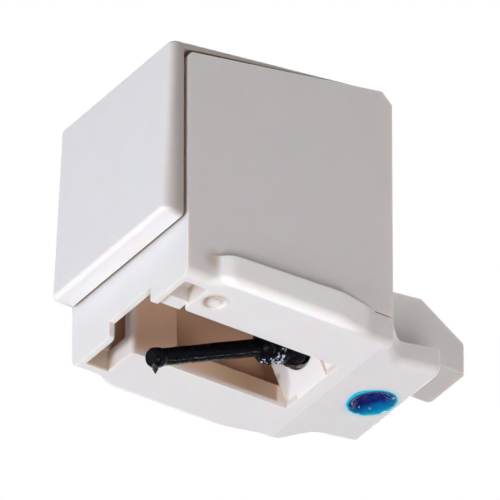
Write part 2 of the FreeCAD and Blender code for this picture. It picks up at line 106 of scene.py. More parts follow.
def colour(name, description, default):
    """A colour that a user may change, in linear light."""
    return FloatVectorProperty(
        name=name, description=description, default=default, size=3, min=0, max=1, subtype="COLOR"
    )


def length(name, description, default):
    """A length in metres that a user may change."""
    return FloatProperty(
        name=name, description=description, default=default, min=0, unit="LENGTH", precision=5
    )


def degrees(name, description, default):
    """An angle that a user may change, given in degrees and kept in radians."""
    return FloatProperty(
        name=name, description=description, default=math.radians(default), subtype="ANGLE"
    )


def share(name, description, default, top=1.0):
    """A plain number from zero up."""
    return FloatProperty(name=name, description=description, default=default, min=0, max=top)


class StylusPlastic(bpy.types.PropertyGroup):
    """The ivory plastic of the moulding and the cover."""

    body: colour("Ivory", "Colour of the moulded plastic", (0.775, 0.757, 0.762))
    # Painted light: the edge cream paints the light that comes through the plastic's edges.
    edge: colour("Edge cream", "Colour where light comes through an edge", (0.86, 0.79, 0.68))
    # Painted shade: the hollow tint warms and darkens the inside of the body.
    hollow: colour("Hollow tint", "Colour that light takes on in hollows", (0.82, 0.545, 0.38))
    # Painted light: the thin colour paints the skirts paler.
    thin: colour("Thin", "Colour of the skirts, which light passes through", (0.94, 0.92, 0.92))
    # Painted shade: brown in the window, at the slot's end, in the gate's dimple and by the skirt's
    # start.
    brown_shade: colour(
        "Brown shade", "Colour of the brown shades in the window and by the skirt", (0.42, 0.265, 0.155)
    )
    # Painted shade along the cover's rim next to the parting gap.
    seam: colour("Seam", "Colour of the cover's rim next to the parting gap", (0.33, 0.275, 0.235))
    # Painted shade: the gap colour darkens creases and narrow gaps.
    gap: colour("Crease shade", "Colour in narrow gaps", (0.55, 0.44, 0.36))
    edge_width: length("Edge width", "How far the cream colour reaches from an edge", 0.22 * MM)
    hollow_reach: length("Hollow reach", "How near other walls have to be to tint a hollow", 1.6 * MM)
    roughness: share("Roughness", "Roughness of the moulded surface", 0.42)
    grain: length("Grain", "Size of the fine surface grain", 0.16 * MM)
    glow_depth: length("Glow depth", "How far light travels inside the plastic", 0.5 * MM)


class StylusRod(bpy.types.PropertyGroup):
    """The cantilever, a tube with a soft collar and a lumpy root."""

    reach: length("Reach", "Damper's centre to the front end", 9.15 * MM)
    back: length("Back", "Damper's centre to the rear end", 3.0 * MM)
    radius: length("Radius", "Radius of the tube", 0.45 * MM)
    collar_radius: length("Collar radius", "Radius of the collar at the front end", 0.52 * MM)
    collar_length: length("Collar length", "Length of the collar at the front end", 0.5 * MM)
    root_radius: length("Root radius", "Radius of the glue where the tube enters the damper", 0.9 * MM)
    root_start: length("Root start", "Damper's centre to the front of the glue", 2.3 * MM)
    unevenness: length("Unevenness", "How far the coating is from round", 0.022 * MM)
    lumps: length("Lumps", "Height of the lumps in the glue", 0.17 * MM)
    coating: colour("Coating", "Colour of the black coating", (0.003, 0.003, 0.005))
    scuff: colour("Scuff", "Colour of the scuffs along the tube", (0.2, 0.21, 0.25))
    # Painted highlights: pale glints on the glue and the damper.
    glint_specks: colour("Glint specks", "Colour of the dried specks on the glue", (0.6, 0.66, 0.85))


class StylusDamper(bpy.types.PropertyGroup):
    """The rubber damper, a lumpy ball."""

    radius: length("Radius", "Radius across the rod", (DAMPER_HIGH.x - DAMPER_LOW.x) / 2)
    half_length: length("Half length", "Half the length along the rod", 0.84 * MM)
    lumps: length("Lumps", "Height of the lumps", 0.16 * MM)
    seed: IntProperty(name="Seed", description="Picks another set of lumps", default=7, min=0)
    rubber: colour("Rubber", "Colour of the rubber", (0.004, 0.004, 0.006))


class StylusMetals(bpy.types.PropertyGroup):
    """The sleeve, the magnet and the tip."""

    sleeve: colour("Sleeve", "Colour of the sleeve's metal", (0.56, 0.56, 0.57))
    magnet: colour("Magnet", "Colour of the magnet's metal", (0.24, 0.24, 0.25))
    tip: colour("Tip", "Colour of the diamond tip", (0.012, 0.011, 0.01))


class StylusSeal(bpy.types.PropertyGroup):
    """The blue lacquer that fills the recess in the tongue."""

    radius: length("Radius", "Radius of the recess that the lacquer fills", 1.275 * MM)
    run_out: length("Run-out", "How far the lacquer runs over the rim", 0.15 * MM)
    depth: length("Depth", "Rim to the middle of the pool", 0.3 * MM)
    film: length("Film", "Thickness of the lacquer on the rim", 0.03 * MM)
    deep: colour("Deep", "Colour in the middle of the pool", (0.0, 0.006, 0.14))
    middle: colour("Middle", "Colour between the middle and the rim", (0.0, 0.15, 0.34))
    thin: colour("Thin", "Colour at the rim", (0.01, 0.5, 0.66))
    stain: colour("Stain", "Colour of the plastic round the lacquer", (0.42, 0.74, 0.8))


class StylusStage(bpy.types.PropertyGroup):
    """Camera, lamps and floor."""

    azimuth: degrees("Azimuth", "Camera's turn round the object", 56.2)
    elevation: degrees("Elevation", "Camera's height angle, negative when it looks up", -33.6)
    distance: length("Distance", "Camera to the middle of the picture", 0.9)
    picture_width: length("Picture width", "Width that the picture shows at that distance", 24.9 * MM)
    target: FloatVectorProperty(
        name="Target",
        description="Point in the middle of the picture",
        default=(-0.65 * MM, -4.62 * MM, 3.05 * MM),
        subtype="TRANSLATION",
    )
    floor_drop: length("Floor drop", "Height of the object's origin above the floor", 1.3)
    sky: share("Sky", "Strength of the even light from all sides", 0.26, 5.0)


# Node trees

def add(tree, kind, inputs=None, **settings):
    """A new node, with settings, and inputs that are either values or sockets to link."""
    node = tree.nodes.new(kind)
    node.location = (190 * len(tree.nodes), 0)
    for key, value in settings.items():
        setattr(node, key, value)
    for key, value in (inputs or {}).items():
        socket = node.inputs[key]
        if isinstance(value, bpy.types.NodeSocket):
            tree.links.new(value, socket)
        else:
            socket.default_value = value
    return node


def maths(tree, operation, *values):
    """The result of one Math node."""
    return add(tree, "ShaderNodeMath", dict(enumerate(values)), operation=operation).outputs[0]


def ramp(tree, value, low, high, start=0.0, end=1.0):
    """A smooth step of a value, from start at low to end at high."""
    inputs = {"Value": value, "From Min": low, "From Max": high, "To Min": start, "To Max": end}
    return add(tree, "ShaderNodeMapRange", inputs, interpolation_type="SMOOTHSTEP").outputs["Result"]


def mix(tree, factor, one, other):
    """One colour mixed into another."""
    node = add(tree, "ShaderNodeMix", data_type="RGBA")
    for index, value in ((0, factor), (6, one), (7, other)):
        if isinstance(value, bpy.types.NodeSocket):
            tree.links.new(value, node.inputs[index])
        elif index:
            node.inputs[index].default_value = (*value, 1)
        else:
            node.inputs[index].default_value = value
    return node.outputs[2]


def noise(tree, vector, size, detail=2.0):
    """A noise pattern whose features are about as large as size, in metres."""
    inputs = {"Vector": vector, "Scale": 1 / size, "Detail": detail}
    return add(tree, "ShaderNodeTexNoise", inputs).outputs["Fac"]


def floats(*names):
    """Names of sockets that are all plain numbers, as new_group takes them."""
    return tuple((name, "Float") for name in names)


def new_group(name, kind, inputs, outputs):
    """A node group with named sockets; returns the tree, its inputs and its output node."""
    tree = bpy.data.node_groups.new(name, kind)
    for direction, sockets in (("INPUT", inputs), ("OUTPUT", outputs)):
        for socket_name, kind_name in sockets:
            socket_type = f"NodeSocket{kind_name}"
            tree.interface.new_socket(socket_name, in_out=direction, socket_type=socket_type)
    return tree, tree.nodes.new("NodeGroupInput").outputs, tree.nodes.new("NodeGroupOutput")


def surface(name, **values):
    """A new material; returns it, its tree and its Principled shader with plain values set."""
    material = bpy.data.materials.new(name)
    material.use_nodes = True
    tree = material.node_tree
    shader = tree.nodes["Principled BSDF"]
    for key, value in values.items():
        socket = shader.inputs[key.replace("_", " ").title().replace("Ior", "IOR")]
        is_colour = socket.type == "RGBA"
        socket.default_value = (*value, 1) if is_colour else value
    return material, tree, shader


def coordinates(tree):
    """Object coordinates, which are the frame's own, in metres."""
    return add(tree, "ShaderNodeTexCoord").outputs["Object"]


def distance(tree, place, point):
    """How far a place is from a point."""
    ends = {0: place, 1: point}
    return add(tree, "ShaderNodeVectorMath", ends, operation="DISTANCE").outputs["Value"]


def near(tree, place, centre, inner, outer):
    """A mask that is one within inner of a point and falls to zero at outer."""
    return ramp(tree, distance(tree, place, centre), outer, inner)


def inside_mask(tree, place, low, high, soft, lean=0.0):
    """A soft mask of what lies inside a box of the frame, whose top may rise to the rear by lean."""
    split = add(tree, "ShaderNodeSeparateXYZ", {"Vector": place}).outputs
    below_top = maths(tree, "MULTIPLY_ADD", split["Y"], -lean, split["Z"])
    tops = {"X": split["X"], "Y": split["Y"], "Z": below_top}
    mask = None
    for axis, lower, upper in zip("XYZ", low, high):
        rise = ramp(tree, split[axis], lower - soft, lower + soft)
        fall = ramp(tree, tops[axis], upper + soft, upper - soft)
        both = maths(tree, "MULTIPLY", rise, fall)
        mask = both if mask is None else maths(tree, "MULTIPLY", mask, both)
    return mask


def tinted(tree, tone, mask, amount, other):
    """A tone with another colour mixed in by an amount where a mask says."""
    return mix(tree, maths(tree, "MULTIPLY", mask, amount), tone, other)


def bump(tree, shader, height, strength, depth):
    """Lets a height bend a shader's normal."""
    inputs = {"Height": height, "Strength": strength, "Distance": depth}
    bent = add(tree, "ShaderNodeBump", inputs).outputs["Normal"]
    tree.links.new(bent, shader.inputs["Normal"])


# Pieces

def dress(node, material):
    """Gives a CAD node one material in all its slots."""
    slots = frame["nodes"][node].material_slots
    if not slots:
        raise RuntimeError(f"{node} has no material slot")
    for slot in slots:
        slot.material = material


def grown(name, tree, values):
    """A plain mesh object made by a Geometry Nodes tree from values for its named inputs."""
    holder = bpy.data.objects.new(f"{name}_holder", bpy.data.meshes.new(f"{name}_holder"))
    bpy.context.scene.collection.objects.link(holder)
    modifier = holder.modifiers.new("nodes", "NODES")
    modifier.node_group = tree
    for item in tree.interface.items_tree:
        if item.in_out == "INPUT" and item.name in values:
            modifier[item.identifier] = values[item.name]
    depsgraph = bpy.context.evaluated_depsgraph_get()
    mesh = bpy.data.meshes.new_from_object(holder.evaluated_get(depsgraph), depsgraph=depsgraph)
    holder.modifiers.remove(modifier)
    bpy.data.objects.remove(holder)
    if not mesh.polygons:
        raise RuntimeError(f"{name} came out empty")
    mesh.name = name
    piece = bpy.data.objects.new(name, mesh)
    bpy.context.scene.collection.objects.link(piece)
    return piece


def uneven(tree, geometry, height, size, seed):
    """Geometry moved along its normals by a noise of the given height and size."""
    place = add(tree, "GeometryNodeInputPosition").outputs[0]
    normal = add(tree, "GeometryNodeInputNormal").outputs[0]
    pattern = add(
        tree,
        "ShaderNodeTexNoise",
        {"Vector": place, "W": seed, "Scale": 1 / size, "Detail": 2.0},
        noise_dimensions="4D",
    ).outputs["Fac"]
    swing = maths(tree, "MULTIPLY", maths(tree, "MULTIPLY_ADD", pattern, 2.0, -1.0), height)
    offset = add(tree, "ShaderNodeVectorMath", {0: normal, "Scale": swing}, operation="SCALE").outputs[0]
    return add(tree, "GeometryNodeSetPosition", {"Geometry": geometry, "Offset": offset}).outputs[0]


def closed_off(tree, out, geometry, material):
    """The end that every tree of a piece has: smooth shading, real geometry and its material."""
    smooth = add(tree, "GeometryNodeSetShadeSmooth", {"Geometry": geometry}).outputs[0]
    real = add(tree, "GeometryNodeRealizeInstances", {"Geometry": smooth}).outputs[0]
    done = add(tree, "GeometryNodeSetMaterial", {"Geometry": real, "Material": material}).outputs[0]
    tree.links.new(done, out.inputs["Geometry"])


# Moulding and cover

def moulded_grain_group():
    """Fine grain, soft mottling, and masks of the edges for painted light and of the hollows for painted
    shade, for moulded plastic.
    """
    tree, given, out = new_group(
        "moulded_grain",
        "ShaderNodeTree",
        floats("Grain", "Edge Width", "Hollow Reach", "Roughness"),
        floats("Mottle", "Edge", "Hollow", "Roughness", "Height"),
    )
    place = coordinates(tree)
    coarse = noise(tree, place, 2.2 * MM)
    scale = maths(tree, "DIVIDE", 1.0, given["Grain"])
    pattern = {"Vector": place, "Scale": scale, "Detail": 3.0}
    fine = add(tree, "ShaderNodeTexNoise", pattern).outputs["Fac"]
    soft = add(tree, "ShaderNodeBevel", {"Radius": given["Edge Width"]}, samples=4)
    facing = add(tree, "ShaderNodeNewGeometry")
    normals = {0: soft.outputs["Normal"], 1: facing.outputs["Normal"]}
    likeness = add(tree, "ShaderNodeVectorMath", normals, operation="DOT_PRODUCT").outputs["Value"]
    # The hollow mask comes from ambient occlusion, for painted shade.
    open_sky = add(tree, "ShaderNodeAmbientOcclusion", {"Distance": given["Hollow Reach"]}, samples=6)
    spread = 0.16
    smoothest = maths(tree, "SUBTRACT", given["Roughness"], spread / 2)
    results = {
        "Mottle": coarse,
        "Edge": ramp(tree, likeness, low=1.0, high=0.8),
        "Hollow": ramp(tree, open_sky.outputs["AO"], low=0.5, high=0.12),
        "Roughness": maths(tree, "MULTIPLY_ADD", fine, spread, smoothest),
        "Height": fine,
    }
    for socket_name, value in results.items():
        tree.links.new(value, out.inputs[socket_name])
    return tree


def ivory(name, settings, grain_group):
    """The moulded plastic: fine grain, painted light on its edges, painted shade in its creases and
    painted warm shade inside the body.
    """
    material, tree, shader = surface(
        name,
        subsurface_weight=0.6,
        subsurface_radius=(1.0, 0.5, 0.26),
        subsurface_scale=settings.glow_depth,
        ior=1.49,
    )
    inputs = {
        "Grain": settings.grain,
        "Edge Width": settings.edge_width,
        "Hollow Reach": settings.hollow_reach,
        "Roughness": settings.roughness,
    }
    finish = add(tree, "ShaderNodeGroup", inputs, node_tree=grain_group).outputs
    darker = tuple(0.95 * part for part in settings.body)
    tone = mix(tree, finish["Mottle"], settings.body, darker)
    # Painted light: cream along the edges.
    tone = tinted(tree, tone, finish["Edge"], 0.5, settings.edge)
    # Painted shade: creases and gaps darkened by ambient occlusion.
    tone = tinted(tree, tone, finish["Hollow"], 0.8, settings.gap)
    place = coordinates(tree)
    # Painted warm shade inside the cavity, mostly kept off the boss.
    inside = inside_mask(tree, place, CAVITY_LOW, CAVITY_HIGH, soft=0.35 * MM, lean=LID_LEAN)
    boss = inside_mask(tree, place, BOSS_LOW, BOSS_HIGH, soft=0.3 * MM)
    in_cavity, at_boss = 0.92, 0.1
    amount = maths(tree, "MULTIPLY_ADD", boss, at_boss - in_cavity, in_cavity)
    tone = tinted(tree, tone, inside, amount, settings.hollow)
    tree.links.new(finish["Roughness"], shader.inputs["Roughness"])
    bump(tree, shader, finish["Height"], strength=0.12, depth=0.02 * MM)
    return material, tree, shader, tone


def gate_dimple_shade(tree, place, tone, settings):
    """A tone with the gate's round of plain plastic and painted shade in a brown crescent in its dimple.
    """
    plain = near(tree, place, GATE_CENTRE, inner=0.8 * MM, outer=1.1 * MM)
    tone = tinted(tree, tone, plain, 0.8, settings.body)
    dimple = near(tree, place, GATE_CENTRE, inner=0.45 * MM, outer=0.85 * MM)
    pip = near(tree, place, GATE_PIP, inner=0.35 * MM, outer=0.75 * MM)
    # Painted shade in the dimple, kept off its pip.
    crescent = maths(tree, "MULTIPLY", dimple, maths(tree, "SUBTRACT", 1.0, pip))
    return tinted(tree, tone, crescent, 0.65, settings.brown_shade)


def moulding_stain_and_painted_light(tree, tone, settings, seal):
    """A tone with the moulding's stain, painted shade in the gate's dimple, in the window and by the
    skirt, and painted light on the skirts.
    """
    place = coordinates(tree)
    split = add(tree, "ShaderNodeSeparateXYZ", {"Vector": place}).outputs
    stain_end = seal.radius + 2.2 * seal.run_out
    stain = near(tree, place, SEAL_CENTRE, inner=seal.radius, outer=stain_end)
    tone = tinted(tree, tone, stain, 0.75, seal.stain)
    tone = gate_dimple_shade(tree, place, tone, settings)
    # Painted shade where the skirt starts.
    start = near(tree, place, SKIRT_START, inner=0.1 * MM, outer=0.9 * MM)
    tone = tinted(tree, tone, start, 0.55, settings.brown_shade)
    # Painted shade on the window's sill and at the slot's end, fading along them.
    sill = inside_mask(tree, place, SILL_LOW, SILL_HIGH, soft=0.12 * MM)
    tone = tinted(tree, tone, sill, ramp(tree, split["Y"], *SILL_FADE, end=0.9), settings.brown_shade)
    slot_end = inside_mask(tree, place, SLOT_LOW, SLOT_HIGH, soft=0.09 * MM)
    tone = tinted(tree, tone, slot_end, ramp(tree, split["X"], *SLOT_FADE, end=0.6), settings.brown_shade)
    # Painted light: the skirts' outer sides made paler, more so lower down.
    side = ramp(tree, maths(tree, "ABSOLUTE", split["X"]), *SKIRT_SIDE)
    return tinted(tree, tone, side, ramp(tree, split["Z"], *SKIRT_TOP), settings.thin)


def cover_rim_shade(tree, tone, settings):
    """A tone with painted shade along the cover's rim, next to the parting gap."""
    split = add(tree, "ShaderNodeSeparateXYZ", {"Vector": coordinates(tree)}).outputs
    half, front = COVER_HIGH.x, COVER_LOW.y
    rim = ramp(tree, maths(tree, "ABSOLUTE", split["X"]), half - 0.45 * MM, half - 0.02 * MM)
    rear = ramp(tree, split["Y"], front + 0.3 * MM, front + 1.1 * MM)
    return tinted(tree, tone, maths(tree, "MULTIPLY", rim, rear), 0.7, settings.seam)


class STYLUS_OT_plastic(bpy.types.Operator):
    """Give the moulding and the cover their ivory plastic"""

    bl_idname = "stylus.plastic"
    bl_label = "Ivory plastic"

    def execute(self, context):
        settings = context.scene.stylus_plastic
        grain_group = moulded_grain_group()
        moulding, tree, shader, tone = ivory("ivory_moulding", settings, grain_group)
        tone = moulding_stain_and_painted_light(tree, tone, settings, context.scene.stylus_seal)
        tree.links.new(tone, shader.inputs["Base Color"])
        dress("stylus_body", moulding)
        cover, tree, shader, tone = ivory("ivory_cover", settings, grain_group)
        tone = cover_rim_shade(tree, tone, settings)
        tree.links.new(tone, shader.inputs["Base Color"])
        dress("front_cover", cover)
        return {"FINISHED"}


# Rod and damper

def on_root(tree, given, along):
    """One along the glue of the rod's root and zero before and after it."""
    full = maths(tree, "MULTIPLY_ADD", given["Radius"], 1.5, given["Root Start"])
    last = maths(tree, "SUBTRACT", given["Root End"], given["Radius"])
    rise = ramp(tree, along, given["Root Start"], full)
    fall = ramp(tree, along, last, given["Root End"], start=1.0, end=0.0)
    return maths(tree, "MULTIPLY", rise, fall)


def rod_tree():
    """A tube on a line, with a rounded collar at its start and a lumpy swelling further on."""
    tree, given, out = new_group(
        "rod",
        "GeometryNodeTree",
        (
            ("Start", "Vector"),
            ("End", "Vector"),
            *floats("Radius", "Collar Radius", "Collar Length", "Root Radius", "Root Start", "Root End"),
            *floats("Unevenness", "Lumps"),
            ("Material", "Material"),
        ),
        (("Geometry", "Geometry"),),
    )
    steps, sides = 240, 48
    line = add(tree, "GeometryNodeCurvePrimitiveLine", {"Start": given["Start"], "End": given["End"]})
    path = add(tree, "GeometryNodeResampleCurve", {"Curve": line.outputs[0], "Count": steps}).outputs[0]
    along = add(tree, "GeometryNodeSplineParameter").outputs["Length"]
    collar = given["Collar Length"]
    collar_end = maths(tree, "MULTIPLY", collar, 1.5)
    width = ramp(tree, along, collar, collar_end, given["Collar Radius"], given["Radius"])
    nose_end = maths(tree, "MULTIPLY", collar, 0.4)
    nose = ramp(tree, along, 0.0, nose_end, start=0.8, end=1.0)
    width = maths(tree, "MULTIPLY", width, nose)
    swell = maths(tree, "SUBTRACT", given["Root Radius"], given["Radius"])
    width = maths(tree, "MULTIPLY_ADD", on_root(tree, given, along), swell, width)
    circle = add(tree, "GeometryNodeCurvePrimitiveCircle", {"Resolution": sides, "Radius": 1.0})
    sweep = {"Curve": path, "Profile Curve": circle.outputs[0], "Scale": width, "Fill Caps": True}
    tube = add(tree, "GeometryNodeCurveToMesh", sweep).outputs[0]
    coated = uneven(tree, tube, given["Unevenness"], size=0.55 * MM, seed=3.0)
    place = add(tree, "GeometryNodeInputPosition").outputs[0]
    glued = on_root(tree, given, distance(tree, place, given["Start"]))
    height = maths(tree, "MULTIPLY", glued, given["Lumps"])
    lumpy = uneven(tree, coated, height, size=0.42 * MM, seed=5.0)
    closed_off(tree, out, lumpy, given["Material"])
    return tree


def damper_tree():
    """A ball, flattened along a direction and pushed into lumps."""
    tree, given, out = new_group(
        "damper",
        "GeometryNodeTree",
        (
            ("Centre", "Vector"),
            ("Turn", "Vector"),
            *floats("Radius", "Half Length", "Lumps", "Seed"),
            ("Material", "Material"),
        ),
        (("Geometry", "Geometry"),),
    )
    ball = add(tree, "GeometryNodeMeshIcoSphere", {"Radius": 1.0, "Subdivisions": 6}).outputs[0]
    radii = {"X": given["Radius"], "Y": given["Half Length"], "Z": given["Radius"]}
    scale = add(tree, "ShaderNodeCombineXYZ", radii).outputs[0]
    turned = add(
        tree,
        "GeometryNodeTransform",
        {"Geometry": ball, "Translation": given["Centre"], "Rotation": given["Turn"], "Scale": scale},
    ).outputs[0]
    coarse = uneven(tree, turned, given["Lumps"], size=0.8 * MM, seed=given["Seed"])
    finer = maths(tree, "MULTIPLY", given["Lumps"], 0.3)
    fine = uneven(tree, coarse, finer, size=0.28 * MM, seed=given["Seed"])
    closed_off(tree, out, fine, given["Material"])
    return tree


def glossy_black_group():
    """Scuffs, painted glints, broken gloss and height for black coatings and rubber, made once."""
    made = bpy.data.node_groups.get("glossy_black")
    if made:
        return made
    tree, given, out = new_group(
        "glossy_black",
        "ShaderNodeTree",
        (("Base", "Color"), ("Scuff", "Color"), ("Amount", "Float"), ("Glint specks", "Color")),
        (("Color", "Color"), ("Roughness", "Float"), ("Height", "Float")),
    )
    place = coordinates(tree)
    patches = noise(tree, place, size=0.5 * MM, detail=3.0)
    grit = noise(tree, place, size=0.12 * MM, detail=3.0)
    worn_patch = ramp(tree, patches, low=0.54, high=0.68)
    worn = maths(tree, "MULTIPLY", worn_patch, ramp(tree, grit, low=0.54, high=0.7))
    tone = tinted(tree, given["Base"], worn, given["Amount"], given["Scuff"])
    # Painted highlights: pale glints near the damper's front.
    glue = near(tree, place, GLINT_CENTRE, inner=0.55 * MM, outer=1.5 * MM)
    glinting = maths(tree, "MULTIPLY", noise(tree, place, size=0.2 * MM, detail=4.0), glue)
    tone = mix(tree, ramp(tree, glinting, low=0.475, high=0.585), tone, given["Glint specks"])
    tree.links.new(tone, out.inputs["Color"])
    sheen = ramp(tree, grit, low=0.3, high=0.7, start=0.16, end=0.42)
    tree.links.new(sheen, out.inputs["Roughness"])
    height = maths(tree, "MULTIPLY_ADD", grit, 0.5, patches)
    tree.links.new(height, out.inputs["Height"])
    return tree


def glossy_black(name, base, rod, amount, depth):
    """A black coating or rubber with broken gloss."""
    material, tree, shader = surface(
        name, ior=1.4, specular_ior_level=0.04, coat_weight=0.04, coat_roughness=0.05
    )
    inputs = {
        "Base": (*base, 1),
        "Scuff": (*rod.scuff, 1),
        "Amount": amount,
        "Glint specks": (*rod.glint_specks, 1),
    }
    finish = add(tree, "ShaderNodeGroup", inputs, node_tree=glossy_black_group()).outputs
    tree.links.new(finish["Color"], shader.inputs["Base Color"])
    tree.links.new(finish["Roughness"], shader.inputs["Roughness"])
    bump(tree, shader, finish["Height"], strength=0.7, depth=depth)
    return material


class STYLUS_OT_rod(bpy.types.Operator):
    """Make the black cantilever with its collar and glue"""

    bl_idname = "stylus.rod"
    bl_label = "Cantilever"

    def execute(self, context):
        rod = context.scene.stylus_rod
        coating = glossy_black("black_coating", rod.coating, rod, amount=0.1, depth=0.05 * MM)
        values = {
            "Start": PIVOT + ROD_AXIS * rod.reach,
            "End": PIVOT - ROD_AXIS * rod.back,
            "Radius": rod.radius,
            "Collar Radius": rod.collar_radius,
            "Collar Length": rod.collar_length,
            "Root Radius": rod.root_radius,
            "Root Start": rod.reach - rod.root_start,
            "Root End": rod.reach,
            "Unevenness": rod.unevenness,
            "Lumps": rod.lumps,
            "Material": coating,
        }
        piece = grown("cantilever_tube", rod_tree(), values)
        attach(piece, "stylus")
        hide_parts("cantilever")
        return {"FINISHED"}


class STYLUS_OT_damper(bpy.types.Operator):
    """Make the lumpy rubber damper"""

    bl_idname = "stylus.damper"
    bl_label = "Rubber damper"

    def execute(self, context):
        damper = context.scene.stylus_damper
        rod = context.scene.stylus_rod
        rubber = glossy_black("black_rubber", damper.rubber, rod, amount=0.1, depth=0.11 * MM)
        values = {
            "Centre": PIVOT,
            "Turn": Vector((math.atan2(ROD_AXIS.z, ROD_AXIS.y), 0, 0)),
            "Radius": damper.radius,
            "Half Length": damper.half_length,
            "Lumps": damper.lumps,
            "Seed": float(damper.seed),
            "Material": rubber,
        }
        piece = grown("damper_ball", damper_tree(), values)
        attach(piece, "damper")
        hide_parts("rubber_damper")
        return {"FINISHED"}


# Sleeve, magnet and tip

def drawn_metal(name, base, roughness):
    """Metal with fine lines along the rod's direction."""
    material, tree, shader = surface(name, base_color=base, metallic=1.0)
    stretch = {"Vector": coordinates(tree), "Scale": (1, 0.08, 1)}
    drawn = add(tree, "ShaderNodeMapping", stretch, vector_type="POINT").outputs[0]
    streak = noise(tree, drawn, size=0.05 * MM, detail=3.0)
    sheen = ramp(tree, streak, low=0.3, high=0.7, start=roughness - 0.1, end=roughness + 0.12)
    tree.links.new(sheen, shader.inputs["Roughness"])
    worn = tuple(0.7 * part for part in base)
    tone = mix(tree, ramp(tree, streak, low=0.4, high=0.7), base, worn)
    tree.links.new(tone, shader.inputs["Base Color"])
    return material


def dark_diamond(name, base):
    """The tip's dark, glossy stone with paler clouds."""
    material, tree, shader = surface(name, ior=1.5)
    cloud = noise(tree, coordinates(tree), size=0.12 * MM, detail=3.0)
    paler = tuple(4 * part for part in base)
    tone = mix(tree, ramp(tree, cloud, low=0.45, high=0.75), base, paler)
    tree.links.new(tone, shader.inputs["Base Color"])
    sheen = ramp(tree, cloud, low=0.3, high=0.7, start=0.08, end=0.3)
    tree.links.new(sheen, shader.inputs["Roughness"])
    return material


class STYLUS_OT_metals(bpy.types.Operator):
    """Give the sleeve, the magnet and the tip their finishes"""

    bl_idname = "stylus.metals"
    bl_label = "Sleeve, magnet and tip"

    def execute(self, context):
        metals = context.scene.stylus_metals
        dress("suspension_sleeve", drawn_metal("sleeve_metal", metals.sleeve, roughness=0.35))
        dress("magnet", drawn_metal("magnet_metal", metals.magnet, roughness=0.42))
        dress("diamond_tip", dark_diamond("tip_diamond", metals.tip))
        return {"FINISHED"}


# Seal

# Shares of the pool's radius where its surface starts to climb and where it meets the rim
POOL_FLAT, POOL_RIM = 0.45, 0.88

# Where the lacquer ran over the rim, and the waves along its edge there
RUN_OUT_TURN = math.radians(73.4)
RUN_OUT_START = 0.35
WAVE_COUNT, WAVE_SHIFT, WAVE_SHARE = 5, 0.6, 0.25


def way(value, low, high):
    """How far a value is on its way from low to high, from zero to one."""
    return min(max((value - low) / (high - low), 0), 1)


def pool_depth(share_out, edge_share, seal):
    """Depth of the lacquer's surface below the plastic at a share of the way to its edge."""
    climb = way(share_out, POOL_FLAT, POOL_RIM)
    climb = climb * climb * (3 - 2 * climb)
    fall = way(share_out, POOL_RIM, edge_share)
    return seal.depth * (1 - climb) - seal.film * climb * math.sqrt(1 - fall * fall)


def pool_edge(angle, seal):
    """Radius of the pool in a direction, larger where the lacquer ran over the rim."""
    lobe = max(math.cos(angle + RUN_OUT_TURN), 0) ** 2
    wave = WAVE_SHARE * math.sin(WAVE_COUNT * angle + WAVE_SHIFT) * lobe
    return seal.radius + seal.run_out * max(lobe + wave - RUN_OUT_START, 0) / (1 - RUN_OUT_START)


def pool_point(angle, reach, depth):
    """A point at a reach from the seal's centre along the tongue, and a depth inside it."""
    across = Vector((math.cos(angle), 0, 0)) + SEAL_ALONG * math.sin(angle)
    return SEAL_CENTRE + across * reach + SEAL_INWARD * depth


def lacquer_mesh(seal):
    """A pool with a hollow middle, whose edge runs out over the rim on one side."""
    turns, rings = 96, 48
    wall_reach, wall_top = seal.radius - 0.015 * MM, 0.01 * MM
    angles = [math.tau * turn / turns for turn in range(turns)]
    shape = bmesh.new()
    centre = shape.verts.new(pool_point(0, 0, seal.depth))
    floor_centre = shape.verts.new(pool_point(0, 0, SEAL_FLOOR))
    loops = []
    for ring in range(1, rings + 1):
        loop = []
        for angle in angles:
            edge = pool_edge(angle, seal)
            reach = edge * ring / rings
            depth = pool_depth(reach / seal.radius, edge / seal.radius, seal)
            loop.append(shape.verts.new(pool_point(angle, reach, depth)))
        loops.append(loop)
    for depth in (wall_top, SEAL_FLOOR):
        loops.append([shape.verts.new(pool_point(angle, wall_reach, depth)) for angle in angles])
    for turn in range(turns):
        following = (turn + 1) % turns
        shape.faces.new((centre, loops[0][following], loops[0][turn]))
        for low, high in zip(loops, loops[1:]):
            shape.faces.new((low[turn], low[following], high[following], high[turn]))
        shape.faces.new((floor_centre, loops[-1][turn], loops[-1][following]))
    bmesh.ops.recalc_face_normals(shape, faces=shape.faces)
    for face in shape.faces:
        face.smooth = True
    mesh = bpy.data.meshes.new("lacquer_pool")
    shape.to_mesh(mesh)
    shape.free()
    return mesh


def blue_lacquer(seal):
    """Glossy lacquer, dark in the deep of the pool and pale at its rim, with painted shade on one side.
    """
    material, tree, shader = surface("blue_lacquer", roughness=0.03, ior=1.4, specular_ior_level=0.24)
    place = coordinates(tree)
    cloud = noise(tree, place, size=0.5 * MM, detail=3.0)
    spread = 0.3 * MM
    drift = maths(tree, "MULTIPLY_ADD", cloud, spread, -spread / 2)
    # Painted shade: the dark middle sits off the pool's centre; the fade to the rim follows the
    # lacquer's depth.
    away = maths(tree, "ADD", distance(tree, place, SEAL_CENTRE + SEAL_SHADE_SHIFT), drift)
    tone = mix(tree, ramp(tree, away, low=0.95 * MM, high=1.4 * MM), seal.deep, seal.middle)
    tone = mix(tree, ramp(tree, away, low=1.3 * MM, high=1.7 * MM), tone, seal.thin)
    out = distance(tree, place, SEAL_CENTRE)
    film = ramp(tree, out, low=seal.radius - 0.14 * MM, high=seal.radius + 0.02 * MM)
    tone = mix(tree, film, tone, seal.thin)
    tree.links.new(tone, shader.inputs["Base Color"])
    bump(tree, shader, noise(tree, place, size=0.42 * MM, detail=1.0), strength=0.5, depth=0.2 * MM)
    return material


